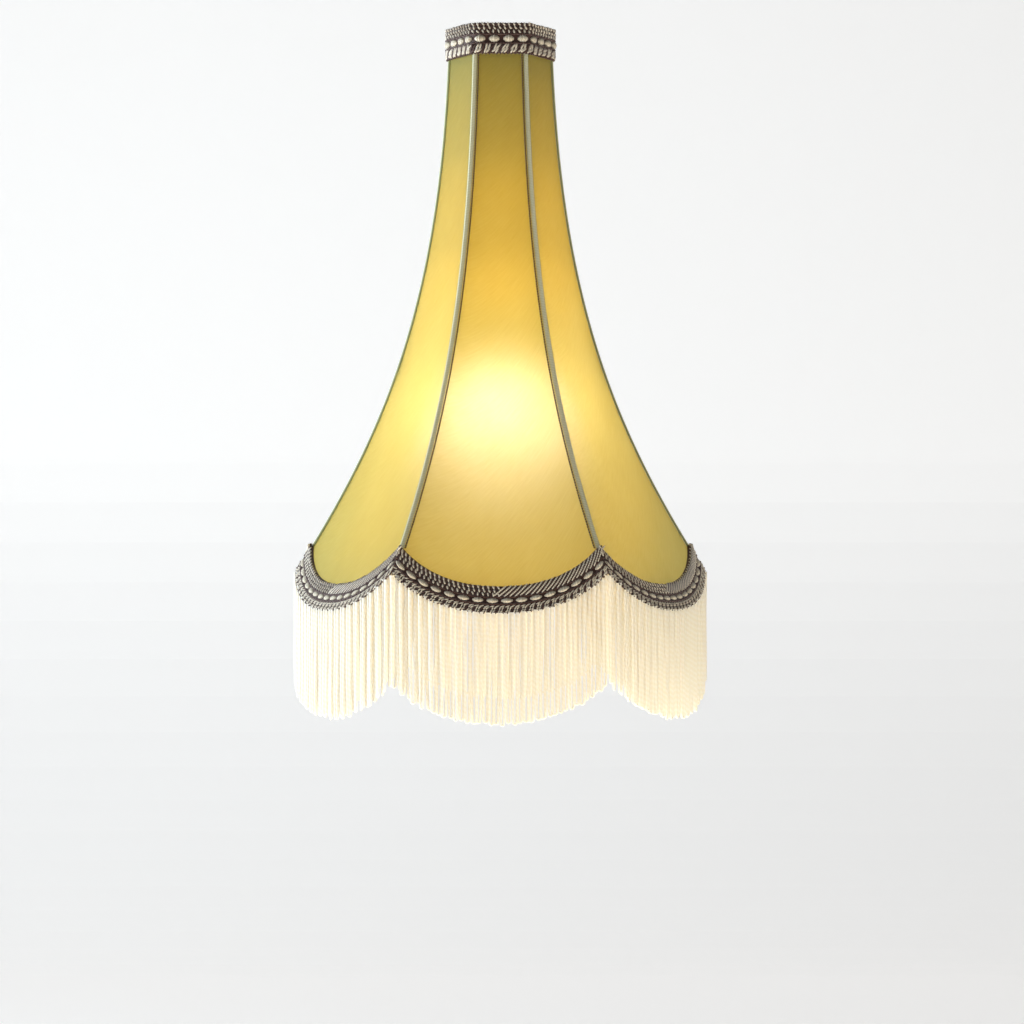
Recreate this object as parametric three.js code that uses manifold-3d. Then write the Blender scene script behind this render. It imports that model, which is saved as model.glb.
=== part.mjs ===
import * as THREE from "three";
import { mergeVertices } from "three/addons/utils/BufferGeometryUtils.js";
import Module from "manifold-3d";

// A six-sided bell lamp shade of stretched cloth on a wire frame, with a deep loop fringe.
// It tilts on a gimbal that a ring clamped on the lampholder carries.
// Millimetres. +Z is up, gore 1 faces -Y, and the origin is the centre of the ring's underside.

// The frame: the line that the middle of each rib wire follows, as radius and height.
const GORES = 6;
const TOP_RADIUS = 39.3;
const TOP_Z = 415;
const TOP_LEAN = THREE.MathUtils.degToRad(1.5);
const TOP_PULL = 212;
const SKIRT_RADIUS = 152.5;
const SKIRT_Z = -16;
const SKIRT_LEAN = THREE.MathUtils.degToRad(31);
const SKIRT_PULL = 125;
const WIRE_RADIUS = 1.5;
const TOP_RING_BEND = 8;

// The lower edge: six scallops that hang between the ribs.
const BRAID_FOOT_Z = -40;
const SCALLOP_DROP = 32;
const SCALLOP_POWER = 2.2;

// Cloth, trimmings and fringe.
const COVER_THICKNESS = 0.6;
const LINING_THICKNESS = 0.5;
const LINING_TOP_DROP = 5;
const COVER_ABOVE_RING = 1;
const PIPING_WIDTH = 4.4;
const PIPING_CROWN = 1.3;
const PIPING_EDGE = 0.6;
const EDGE_CORD = 1.8;
const BRAID_WIDTH = 25;
const BRAID_THICKNESS = 3.5;
const TOP_BRAID_HEIGHT = 26;
const TOP_BRAID_THICKNESS = 5.2;
const TOP_BRAID_ABOVE_RING = 3;
const TOP_BRAID_BEND = 9;
const FRINGE_LENGTH = 90;

// The gimbal fitter.
const RING_HOLE_RADIUS = 21;
const RING_RADIUS = 29.5;
const STRIP_THICKNESS = 1.5;
const STRIP_WIDTH = 10;
const STIRRUP_HALF_SPAN = 36;
const STIRRUP_FOOT = 6.5;
const EAR_MARGIN = 1;
const PIVOT_Z = 115;
const ARM_ABOVE_PIVOT = 12;
const RIVET_RADIUS = 2;
const RIVET_HEAD_RADIUS = 4;
const RIVET_HEAD_HEIGHT = 1.7;
const RIVET_HEAD_FLAT = 2.8;
const WASHER_RADIUS = 4.5;
const WASHER_THICKNESS = 0.8;

// Clearances.
const GAP = 0.3;
const CLOTH_OFF_WIRE = 0.8;
const HEM_ABOVE_BRAID_FOOT = 3;
const SLIT_CLEARANCE = 0.8;
const LEVEL_CLEARANCE = 1;

// How finely the curved pieces are divided.
const STATIONS = 12;
const COLUMNS = 8;
const SCALLOP_STEPS = COLUMNS + 4;
const FRINGE_ROWS = 2;
const CORNER_STEPS = 4;
const WIRE_SIDES = 6;
const RING_SIDES = 64;
const TURNED_SIDES = 24;

const CORNER = Math.PI / GORES;
const COVER_INSIDE = WIRE_RADIUS + CLOTH_OFF_WIRE;
const COVER_OUTSIDE = COVER_INSIDE + COVER_THICKNESS;
const TRIM_INSIDE = COVER_OUTSIDE + GAP;
const LINING_OUTSIDE = -COVER_INSIDE;

const wasm = await Module();
wasm.setup();

// The rib line: one smooth curve down to the skirt, then straight at the skirt's lean.
const ribCurve = new THREE.CubicBezierCurve(
  new THREE.Vector2(TOP_RADIUS, TOP_Z),
  new THREE.Vector2(TOP_RADIUS + TOP_PULL * Math.sin(TOP_LEAN), TOP_Z - TOP_PULL * Math.cos(TOP_LEAN)),
  new THREE.Vector2(
    SKIRT_RADIUS - SKIRT_PULL * Math.sin(SKIRT_LEAN),
    SKIRT_Z + SKIRT_PULL * Math.cos(SKIRT_LEAN),
  ),
  new THREE.Vector2(SKIRT_RADIUS, SKIRT_Z),
);

// Levels from the top down at which every piece that follows the ribs has its vertices.
const stations = Array.from({ length: STATIONS + 1 }, (_, i) => {
  const point = ribCurve.getPointAt(i / STATIONS);
  const along = ribCurve.getTangentAt(i / STATIONS);
  return { z: point.y, radius: point.x, slope: -along.x / along.y };
});

// The rib line's radius and slope (radius gained per mm of drop) at a height.
function ribAt(z) {
  if (z <= SKIRT_Z) {
    const slope = Math.tan(SKIRT_LEAN);
    return { radius: SKIRT_RADIUS + (SKIRT_Z - z) * slope, slope };
  }
  const below = Math.max(1, stations.findIndex((station) => station.z <= z));
  const upper = stations[below - 1];
  const lower = stations[below];
  const share = (upper.z - z) / (upper.z - lower.z);
  return {
    radius: THREE.MathUtils.lerp(upper.radius, lower.radius, share),
    slope: THREE.MathUtils.lerp(upper.slope, lower.slope, share),
  };
}

// How far from the axis a gore's face lies when it stands off the frame's own face by `out`.
function faceDepth(z, out) {
  const rib = ribAt(z);
  const faceLean = Math.atan(rib.slope * Math.cos(CORNER));
  return rib.radius * Math.cos(CORNER) + out / Math.cos(faceLean);
}

// A point on the front gore: `across` runs from -1 to 1 between its two mitred side edges.
function gorePoint(across, z, out) {
  const depth = faceDepth(z, out);
  const halfWidth = depth * Math.tan(CORNER) - GAP / 2 / Math.cos(CORNER);
  return new THREE.Vector3(across * halfWidth, -depth, z);
}

// The drop of the scalloped edge below its peaks at the ribs.
function scallop(across) {
  return SCALLOP_DROP * (1 - Math.abs(across) ** SCALLOP_POWER);
}

// Only the positions are kept, with shared vertices joined.
function welded(geometry) {
  const bare = new THREE.BufferGeometry();
  bare.setAttribute("position", geometry.getAttribute("position"));
  bare.setIndex(geometry.index);
  const joined = mergeVertices(bare, 1e-3);
  joined.computeVertexNormals();
  return joined;
}

function solid(geometry) {
  const closed = welded(geometry);
  const faces = new Uint32Array(closed.index.array);
  const points = closed.getAttribute("position").array;
  return new wasm.Manifold(new wasm.Mesh({ numProp: 3, vertProperties: points, triVerts: faces }));
}

function geometryOf(manifold) {
  const mesh = manifold.getMesh();
  const geometry = new THREE.BufferGeometry();
  geometry.setAttribute("position", new THREE.BufferAttribute(mesh.vertProperties, 3));
  geometry.setIndex(new THREE.BufferAttribute(mesh.triVerts, 1));
  geometry.computeVertexNormals();
  return geometry;
}

// A box of columns by rows whose vertices are moved to place(across -1..1, row 0..rows, face 0 or 1).
function bent(columns, rows, place) {
  const box = new THREE.BoxGeometry(2, rows, 1, columns, rows, 1).translate(0, rows / 2, 0.5);
  const vertices = box.getAttribute("position");
  for (let i = 0; i < vertices.count; i += 1) {
    const row = Math.round(vertices.getY(i));
    const face = Math.round(vertices.getZ(i));
    const point = place(vertices.getX(i), row, face);
    vertices.setXYZ(i, point.x, point.y, point.z);
  }
  return welded(box);
}

function circle(radius, sides, centreY = 0) {
  return Array.from({ length: sides }, (_, k) => {
    const angle = (2 * Math.PI * k) / sides;
    return new THREE.Vector2(radius * Math.cos(angle), centreY + radius * Math.sin(angle));
  });
}

function wire(path, steps) {
  const section = new THREE.Shape(circle(WIRE_RADIUS, WIRE_SIDES));
  return welded(new THREE.ExtrudeGeometry(section, { steps, extrudePath: path, bevelEnabled: false }));
}

// The outline of a level ring whose corners lie over the ribs and are rounded by `bend`.
function ringOutline(radius, bend) {
  const points = [];
  const run = bend * Math.tan(CORNER);
  for (let k = 0; k < GORES; k += 1) {
    const angle = 2 * CORNER * k;
    const corner = new THREE.Vector2(Math.cos(angle), Math.sin(angle)).multiplyScalar(radius);
    const before = new THREE.Vector2(Math.cos(angle - 2 * CORNER), Math.sin(angle - 2 * CORNER));
    const after = new THREE.Vector2(Math.cos(angle + 2 * CORNER), Math.sin(angle + 2 * CORNER));
    const start = corner.clone().add(before.multiplyScalar(radius).sub(corner).setLength(run));
    const end = corner.clone().add(after.multiplyScalar(radius).sub(corner).setLength(run));
    points.push(...new THREE.QuadraticBezierCurve(start, corner, end).getPoints(CORNER_STEPS));
  }
  return points;
}

// --- Frame -----------------------------------------------------------------------------------------

function topRingWire() {
  const outline = ringOutline(TOP_RADIUS, TOP_RING_BEND);
  const path = new THREE.CurvePath();
  outline.forEach((point, k) => {
    const next = outline[(k + 1) % outline.length];
    const from = new THREE.Vector3(point.x, point.y, TOP_Z);
    path.add(new THREE.LineCurve3(from, new THREE.Vector3(next.x, next.y, TOP_Z)));
  });
  return welded(new THREE.TubeGeometry(path, outline.length, WIRE_RADIUS, WIRE_SIDES, true));
}

// The height of a scallop wire's middle, a hem above the braid's lower edge.
function scallopWireZ(across) {
  return BRAID_FOOT_Z + HEM_ABOVE_BRAID_FOOT + WIRE_RADIUS - scallop(across);
}

function ribWire() {
  const top = TOP_Z - WIRE_RADIUS - GAP;
  const foot = scallopWireZ(1) + 2 * WIRE_RADIUS + GAP;
  const levels = [top, ...stations.slice(1).map((station) => station.z), foot];
  const path = new THREE.CatmullRomCurve3(
    levels.map((z) => new THREE.Vector3(ribAt(z).radius, 0, z)),
    false,
    "centripetal",
  );
  return wire(path, STATIONS);
}

function scallopWire() {
  const reach = 1 - (WIRE_RADIUS - GAP / 2) / (SKIRT_RADIUS * Math.sin(CORNER));
  const path = new THREE.CatmullRomCurve3(
    Array.from({ length: COLUMNS + 1 }, (_, k) => {
      const across = reach * ((2 * k) / COLUMNS - 1);
      return gorePoint(across, scallopWireZ(across), 0);
    }),
  );
  return wire(path, SCALLOP_STEPS);
}

// --- Cloth -----------------------------------------------------------------------------------------

// A gore of cloth that follows the ribs from topZ down to a scalloped lower edge.
function gore(topZ, lowerEdge, inside, outside) {
  const levels = stations.map((station) => station.z).filter((z) => z < topZ - GAP);
  levels.unshift(topZ);
  return bent(COLUMNS, levels.length, (across, row, face) => {
    const z = row === 0 ? lowerEdge(across) : levels[levels.length - row];
    return gorePoint(across, z, face ? outside : inside);
  });
}

function coverGore() {
  const hem = (across) => BRAID_FOOT_Z + HEM_ABOVE_BRAID_FOOT - scallop(across);
  return gore(TOP_Z + COVER_ABOVE_RING, hem, COVER_INSIDE, COVER_OUTSIDE);
}

function liningGore() {
  const hem = (across) => BRAID_FOOT_Z + 2 * HEM_ABOVE_BRAID_FOOT - scallop(across);
  return gore(TOP_Z - LINING_TOP_DROP, hem, LINING_OUTSIDE - LINING_THICKNESS, LINING_OUTSIDE);
}

// The slits in the lining that the gimbal arms pass through, as cutters in the model's frame.
function liningSlit() {
  const reach = ribAt(PIVOT_Z).radius;
  return new THREE.BoxGeometry(
    reach,
    STRIP_WIDTH + 2 * SLIT_CLEARANCE,
    STRIP_THICKNESS + 2 * SLIT_CLEARANCE,
  ).translate(reach, 0, armZ);
}

function liningGoreSlit(turn) {
  let lining = solid(liningGore());
  for (const side of [0, Math.PI]) {
    lining = lining.subtract(solid(liningSlit().rotateZ(side - turn)));
  }
  return geometryOf(lining);
}

// --- Trimmings -------------------------------------------------------------------------------------

// The levels of a trimming that runs down a rib from below the top braid to above the lower braid.
function trimLevels(lowerZ) {
  const upperZ = TOP_Z + TOP_BRAID_ABOVE_RING - TOP_BRAID_HEIGHT - GAP;
  const inside = (z) => z < upperZ - LEVEL_CLEARANCE && z > lowerZ + LEVEL_CLEARANCE;
  const between = stations.map((station) => station.z).filter(inside);
  return [upperZ, ...between, lowerZ];
}

function braidTopZ(across) {
  return BRAID_FOOT_Z + BRAID_WIDTH * Math.cos(SKIRT_LEAN) - scallop(across);
}

// A strip folded over the seam on the +X rib, crowned in the middle.
function seamPiping() {
  const levels = trimLevels(braidTopZ(1) + 2 * GAP);
  return bent(2, levels.length - 1, (across, row, face) => {
    const z = levels[levels.length - 1 - row];
    const corner = faceDepth(z, TRIM_INSIDE) / Math.cos(CORNER);
    const aside = (across * PIPING_WIDTH) / 2;
    const thickness = across === 0 ? PIPING_CROWN : PIPING_EDGE;
    const depth = corner - Math.abs(aside) * Math.tan(CORNER) + face * thickness;
    return new THREE.Vector3(depth, aside, z);
  });
}

// A fine cord laid on the front gore beside the piping, on one hand (-1 or 1).
function edgeCord(hand) {
  const levels = trimLevels(braidTopZ(1 - PIPING_WIDTH / SKIRT_RADIUS) + 4 * GAP);
  return bent(1, levels.length - 1, (across, row, face) => {
    const z = levels[levels.length - 1 - row];
    const out = TRIM_INSIDE + face * EDGE_CORD;
    const corner = gorePoint(hand, z, TRIM_INSIDE);
    const inset = PIPING_WIDTH / 2 / Math.cos(CORNER) + GAP + EDGE_CORD / 2;
    return new THREE.Vector3(corner.x - hand * inset + (across * EDGE_CORD) / 2, -faceDepth(z, out), z);
  });
}

function lowerBraid() {
  return bent(COLUMNS, 1, (across, row, face) => {
    const z = row === 0 ? BRAID_FOOT_Z - scallop(across) : braidTopZ(across);
    return gorePoint(across, z, TRIM_INSIDE + face * BRAID_THICKNESS);
  });
}

// The fringe hangs straight down from the braid's lower edge.
function fringe() {
  return bent(COLUMNS, FRINGE_ROWS, (across, row, face) => {
    const edgeZ = BRAID_FOOT_Z - scallop(across);
    const point = gorePoint(across, edgeZ, TRIM_INSIDE + face * BRAID_THICKNESS);
    point.z = edgeZ - 2 * GAP - FRINGE_LENGTH * (1 - row / FRINGE_ROWS);
    return point;
  });
}

function topBraid() {
  const lowZ = TOP_Z + TOP_BRAID_ABOVE_RING - TOP_BRAID_HEIGHT;
  const inner = faceDepth(lowZ, TRIM_INSIDE);
  const outer = inner + TOP_BRAID_THICKNESS;
  const outline = new THREE.Shape(ringOutline(outer / Math.cos(CORNER), TOP_BRAID_BEND));
  outline.holes.push(new THREE.Path(ringOutline(inner / Math.cos(CORNER), GAP)));
  const band = new THREE.ExtrudeGeometry(outline, { depth: TOP_BRAID_HEIGHT, bevelEnabled: false });
  return welded(band.translate(0, 0, lowZ));
}

// --- Gimbal fitter ---------------------------------------------------------------------------------

const armZ = PIVOT_Z + ARM_ABOVE_PIVOT;
const stirrupOutside = STIRRUP_HALF_SPAN + STRIP_THICKNESS;
const washerInside = stirrupOutside + GAP;
const armInside = washerInside + WASHER_THICKNESS + GAP;
const rivetHeadOut = armInside + STRIP_THICKNESS + GAP;
const pivotHole = RIVET_RADIUS + GAP;

// Drawn flat on the ring's plane: a washer with two ears that carry the stirrup's feet.
function fitterRing() {
  const half = STRIP_WIDTH / 2 + EAR_MARGIN;
  const reach = Math.asin(half / RING_RADIUS);
  const outline = new THREE.Shape();
  outline.moveTo(stirrupOutside, -half);
  outline.lineTo(stirrupOutside, half);
  outline.absarc(0, 0, RING_RADIUS, reach, Math.PI - reach, false);
  outline.lineTo(-stirrupOutside, half);
  outline.lineTo(-stirrupOutside, -half);
  outline.absarc(0, 0, RING_RADIUS, Math.PI + reach, 2 * Math.PI - reach, false);
  outline.closePath();
  outline.holes.push(new THREE.Path(circle(RING_HOLE_RADIUS, RING_SIDES)));
  const plate = new THREE.ExtrudeGeometry(outline, {
    depth: STRIP_THICKNESS,
    curveSegments: RING_SIDES / 2,
    bevelEnabled: false,
  });
  return welded(plate);
}

// A strip standing across the X axis, with a round end about the pivot; it runs up or down to endZ.
function pivotStrip(insideX, endZ) {
  const half = STRIP_WIDTH / 2;
  const outline = new THREE.Shape();
  const upwards = endZ > PIVOT_Z;
  outline.absarc(0, PIVOT_Z, half, Math.PI, 0, !upwards);
  outline.lineTo(half, endZ);
  outline.lineTo(-half, endZ);
  outline.closePath();
  outline.holes.push(new THREE.Path(circle(pivotHole, TURNED_SIDES, PIVOT_Z)));
  const strip = new THREE.ExtrudeGeometry(outline, {
    depth: STRIP_THICKNESS,
    curveSegments: TURNED_SIDES / 2,
    bevelEnabled: false,
  });
  const toYZ = new THREE.Matrix4().makeBasis(
    new THREE.Vector3(0, 1, 0),
    new THREE.Vector3(0, 0, 1),
    new THREE.Vector3(1, 0, 0),
  );
  return strip.applyMatrix4(toYZ).translate(insideX, 0, 0);
}

function box(lowX, highX, width, lowZ, height) {
  return new THREE.BoxGeometry(highX - lowX, width, height).translate(
    (lowX + highX) / 2,
    0,
    lowZ + height / 2,
  );
}

function stirrupArm() {
  const footZ = STRIP_THICKNESS + GAP;
  const upright = solid(pivotStrip(STIRRUP_HALF_SPAN, footZ));
  const foot = box(stirrupOutside - STIRRUP_FOOT, stirrupOutside, STRIP_WIDTH, footZ, STRIP_THICKNESS);
  return geometryOf(upright.add(solid(foot)));
}

function gimbalArm() {
  const top = armZ + STRIP_THICKNESS / 2;
  const rib = ribAt(armZ);
  const reach = rib.radius - WIRE_RADIUS * Math.hypot(1, rib.slope) - 2 * GAP - rib.slope * STRIP_THICKNESS;
  const plate = solid(pivotStrip(armInside, top));
  const run = box(armInside, reach, STRIP_WIDTH, armZ - STRIP_THICKNESS / 2, STRIP_THICKNESS);
  return geometryOf(plate.add(solid(run)));
}

// A turned piece on the pivot's axis, from a profile of [radius, distance along X].
function turnedOnPivot(profile) {
  const points = profile.map(([radius, along]) => new THREE.Vector2(radius, along));
  const turned = new THREE.LatheGeometry(points, TURNED_SIDES).rotateZ(-Math.PI / 2);
  return welded(turned.translate(0, 0, PIVOT_Z));
}

function pivotRivet() {
  const inner = STIRRUP_HALF_SPAN - GAP;
  const outer = rivetHeadOut;
  const dome = RIVET_HEAD_HEIGHT / 2;
  return turnedOnPivot(
    [
      [0, inner - RIVET_HEAD_HEIGHT],
      [RIVET_HEAD_FLAT, inner - RIVET_HEAD_HEIGHT],
      [RIVET_HEAD_RADIUS, inner - dome],
      [RIVET_HEAD_RADIUS, inner],
      [RIVET_RADIUS, inner],
      [RIVET_RADIUS, outer],
      [RIVET_HEAD_RADIUS, outer],
      [RIVET_HEAD_RADIUS, outer + dome],
      [RIVET_HEAD_FLAT, outer + RIVET_HEAD_HEIGHT],
      [0, outer + RIVET_HEAD_HEIGHT],
    ],
  );
}

function pivotWasher() {
  const outside = washerInside + WASHER_THICKNESS;
  return turnedOnPivot(
    [
      [pivotHole, washerInside],
      [WASHER_RADIUS, washerInside],
      [WASHER_RADIUS, outside],
      [pivotHole, outside],
      [pivotHole, washerInside],
    ],
  );
}

// --- Assembly --------------------------------------------------------------------------------------

function finish(color, roughness, metalness) {
  return new THREE.MeshStandardMaterial({ color, roughness, metalness });
}

const coatedWire = () => finish(0xece6d6, 0.45, 0.0);
const zincSteel = () => finish(0xb9bcc0, 0.4, 1.0);
const silk = () => finish(0xc6c785, 0.6, 0.0);
const lawn = () => finish(0xf2ead2, 0.8, 0.0);
const biasStrip = () => finish(0xd8d8a4, 0.65, 0.0);
const twistedCord = () => finish(0x5a4320, 0.8, 0.0);
const wovenBraid = () => finish(0x4a2f28, 0.85, 0.0);
const rayonFringe = () => finish(0xf7edd2, 0.7, 0.0);

const shade = new THREE.Group();

function place(name, geometry, material, turn = 0) {
  const mesh = new THREE.Mesh(geometry, material);
  mesh.name = name;
  mesh.rotation.z = turn;
  shade.add(mesh);
}

place("top_ring_wire", topRingWire(), coatedWire());
place("top_braid", topBraid(), wovenBraid());
for (let k = 0; k < GORES; k += 1) {
  const number = k + 1;
  const turn = 2 * CORNER * k;
  // The rib on the right of gore k, seen from outside.
  const ribTurn = turn - Math.PI / 2 + CORNER;
  place(`rib_wire_${number}`, ribWire(), coatedWire(), ribTurn);
  place(`scallop_wire_${number}`, scallopWire(), coatedWire(), turn);
  place(`cover_gore_${number}`, coverGore(), silk(), turn);
  place(`lining_gore_${number}`, liningGoreSlit(turn), lawn(), turn);
  place(`seam_piping_${number}`, seamPiping(), biasStrip(), ribTurn);
  place(`lower_braid_${number}`, lowerBraid(), wovenBraid(), turn);
  place(`fringe_${number}`, fringe(), rayonFringe(), turn);
}

// Every other gore is edged with a cord on both sides.
for (let k = 0; k < GORES; k += 2) {
  const turn = 2 * CORNER * k;
  place(`edge_cord_${k + 1}`, edgeCord(-1), twistedCord(), turn);
  place(`edge_cord_${k + 2}`, edgeCord(1), twistedCord(), turn);
}

place("fitter_ring", fitterRing(), zincSteel());
for (const [hand, turn] of [["right", 0], ["left", Math.PI]]) {
  place(`stirrup_arm_${hand}`, stirrupArm(), zincSteel(), turn);
  place(`gimbal_arm_${hand}`, gimbalArm(), zincSteel(), turn);
  place(`pivot_rivet_${hand}`, pivotRivet(), zincSteel(), turn);
  place(`pivot_washer_${hand}`, pivotWasher(), zincSteel(), turn);
}

export default shade;
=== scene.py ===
import math
import random

import bmesh
import bpy
from mathutils import Matrix, Vector


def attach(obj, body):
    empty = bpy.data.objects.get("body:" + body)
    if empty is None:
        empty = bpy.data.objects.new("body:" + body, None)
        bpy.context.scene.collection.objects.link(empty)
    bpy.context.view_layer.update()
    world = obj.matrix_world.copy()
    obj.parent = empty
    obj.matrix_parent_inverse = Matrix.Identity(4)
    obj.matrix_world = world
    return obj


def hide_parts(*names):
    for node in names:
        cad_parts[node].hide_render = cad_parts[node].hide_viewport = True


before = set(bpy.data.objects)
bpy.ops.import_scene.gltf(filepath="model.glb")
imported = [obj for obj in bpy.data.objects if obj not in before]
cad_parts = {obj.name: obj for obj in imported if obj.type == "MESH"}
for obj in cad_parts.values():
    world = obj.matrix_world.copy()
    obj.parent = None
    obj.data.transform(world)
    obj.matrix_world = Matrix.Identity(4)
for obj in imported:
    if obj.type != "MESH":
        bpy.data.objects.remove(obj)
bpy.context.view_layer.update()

# --- Camera and studio ------------------------------------------------------------------------------
# A long lens looks level at the shade from the front, a little to the right of its axis.
# The studio is a pale floor that bends up into a paper wall, bright but for the side the camera is on.
MM = 0.001


def linear(hex_colour):
    channels = [int(hex_colour[i:i + 2], 16) / 255 for i in (1, 3, 5)]
    return [c / 12.92 if c <= 0.04045 else ((c + 0.055) / 1.055) ** 2.4 for c in channels] + [1.0]


def add(owner, kind, inputs=None, **settings):
    """Adds a node to a material or world. An input that is given a socket is linked to it."""
    made = owner.node_tree.nodes.new(kind)
    for name, value in settings.items():
        setattr(made, name, value)
    for name, value in (inputs or {}).items():
        if isinstance(value, bpy.types.NodeSocket):
            owner.node_tree.links.new(value, made.inputs[name])
        else:
            made.inputs[name].default_value = value
    return made


def empty_material(name):
    material = bpy.data.materials.new(name)
    material.use_nodes = True
    material.node_tree.nodes.clear()
    return material


def only(item=None):
    """Selects one object alone, or nothing."""
    for other in bpy.context.selected_objects:
        other.select_set(False)
    if item:
        item.select_set(True)
        bpy.context.view_layer.objects.active = item


camera_data = bpy.data.cameras.new("camera")
camera_data.sensor_width = 36
camera_data.lens = 105.5
camera_data.clip_end = 60
camera = bpy.data.objects.new("camera", camera_data)
camera.location = (9.8 * MM, -2.55, 8.5 * MM)
camera.rotation_euler = (math.radians(90), 0, 0)
bpy.context.collection.objects.link(camera)
bpy.context.scene.camera = camera
bpy.context.scene.view_settings.view_transform = "Standard"

FLOOR_Z = -0.78
SWEEP_START, SWEEP_FLAT, SWEEP_BEND, SWEEP_LENGTH, SWEEP_WIDTH = 1.9, 0.6, 0.9, 4.8, 9
paper = empty_material("matt_studio_paper")
paper_place = add(paper, "ShaderNodeTexCoord").outputs["Object"]
paper_fibre = add(paper, "ShaderNodeTexNoise", {"Vector": paper_place, "Scale": 40.0, "Detail": 4.0})
paper_bump = add(paper, "ShaderNodeBump", {
    "Height": paper_fibre.outputs["Fac"], "Strength": 0.05, "Distance": 0.5 * MM})
paper_shader = add(paper, "ShaderNodeBsdfPrincipled", {
    "Base Color": linear("#E2E1DF"), "Roughness": 0.9, "Normal": paper_bump.outputs[0],
    "Emission Color": linear("#FFFCFA"), "Emission Strength": 0.41})
add(paper, "ShaderNodeOutputMaterial", {"Surface": paper_shader.outputs[0]})

only()
bpy.ops.mesh.primitive_plane_add(size=40, location=(0, 0, FLOOR_Z))
floor = bpy.context.object
floor.name = "studio_floor"
floor.data.materials.append(paper)

only()
bpy.ops.mesh.primitive_grid_add(x_subdivisions=2, y_subdivisions=60, size=1)
sweep = bpy.context.object
sweep.name = "studio_sweep"
for vertex in sweep.data.vertices:
    run = (vertex.co.y + 0.5) * SWEEP_LENGTH
    turn = min(max(run - SWEEP_FLAT, 0) / SWEEP_BEND, math.pi / 2)
    rise = max(run - SWEEP_FLAT - SWEEP_BEND * math.pi / 2, 0)
    back = SWEEP_START + min(run, SWEEP_FLAT) + SWEEP_BEND * math.sin(turn)
    up = FLOOR_Z + 1 * MM + SWEEP_BEND * (1 - math.cos(turn)) + rise
    vertex.co = Vector((vertex.co.x * SWEEP_WIDTH, back, up))
sweep.data.materials.append(paper)

world = bpy.data.worlds.new("studio_light")
world.use_nodes = True
world.node_tree.nodes.clear()
bpy.context.scene.world = world
sky_place = add(world, "ShaderNodeTexCoord").outputs["Generated"]
sky_side = add(world, "ShaderNodeVectorMath", {0: sky_place, 1: (-0.5, 0.86, 0)}, operation="DOT_PRODUCT")
sky_level = add(world, "ShaderNodeMapRange", {
    "Value": sky_side.outputs["Value"], "From Min": -0.9, "From Max": 0.3,
    "To Min": 0.06, "To Max": 0.3}, interpolation_type="SMOOTHSTEP")
sky = add(world, "ShaderNodeBackground", {"Color": linear("#FFFFFF"), "Strength": sky_level.outputs[0]})
add(world, "ShaderNodeOutputWorld", {"Surface": sky.outputs[0]})


def area_light(name, place, aim, size, watts, colour):
    """A soft box, of a width and a height, that faces a point."""
    data = bpy.data.lights.new(name, "AREA")
    data.shape = "RECTANGLE"
    data.size, data.size_y = size
    data.energy = watts
    data.color = linear(colour)[:3]
    light = bpy.data.objects.new(name, data)
    light.location = place
    light.rotation_euler = (Vector(aim) - Vector(place)).to_track_quat("-Z", "Y").to_euler()
    bpy.context.collection.objects.link(light)


def glow_light(name, place, radius, watts, colour):
    """A small round lamp inside the shade."""
    data = bpy.data.lights.new(name, "POINT")
    data.energy = watts
    data.shadow_soft_size = radius
    data.color = linear(colour)[:3]
    light = bpy.data.objects.new(name, data)
    light.location = place
    bpy.context.collection.objects.link(light)


def spot_light(name, place, turn, radius, angle, blend, watts, colour):
    """A lamp inside the shade that shines one way only."""
    data = bpy.data.lights.new(name, "SPOT")
    data.energy = watts
    data.color = linear(colour)[:3]
    data.shadow_soft_size = radius
    data.spot_size = math.radians(angle)
    data.spot_blend = blend
    light = bpy.data.objects.new(name, data)
    light.location = place
    light.rotation_euler = turn
    bpy.context.collection.objects.link(light)


area_light("window_left", (-2.9, 0.1, 0.15), (0, 0, 0.1), (1.4, 1.4), 112, "#E4F3FF")
area_light("fill_right", (2.4, 0.6, 0.8), (0, 0, 0.1), (1.2, 1.2), 3, "#FFFFFF")
# A pale table top would throw daylight up at the fringe.
area_light("table_daylight", (0.2, -0.55, -0.62), (0.03, -0.1, -0.1), (1.0, 0.25), 7.6, "#FFF2D6")
# The bulb isn't part of the shade: only its light is here, where the fitter holds it. The cool spot is a
# studio device that no real lamp has; it keeps the middle of the front gore pale. Weak golden lights
# stand for what the lining throws up the neck, and a wide spot for what the table throws back.
glow_light("bulb_light", (0, -12 * MM, 78 * MM), 30 * MM, 0.6, "#FFF2DC")
spot_light("bulb_hot_side", (0, 8 * MM, 76 * MM), (-math.pi / 2, 0, 0),
           20 * MM, 94, 1.0, 2.5, "#A8A8FF")
for height, forward, watts in ((190, 14, 0.13), (270, 6, 0.067), (350, 3, 0.015)):
    glow_light(f"neck_glow_{height}", (0, -forward * MM, height * MM), 26 * MM, watts, "#FFC83A")
spot_light("table_bounce", (0, -20 * MM, -130 * MM), (math.pi + 0.4, 0, 0),
           35 * MM, 112, 0.5, 0.85, "#FFC83A")

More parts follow.
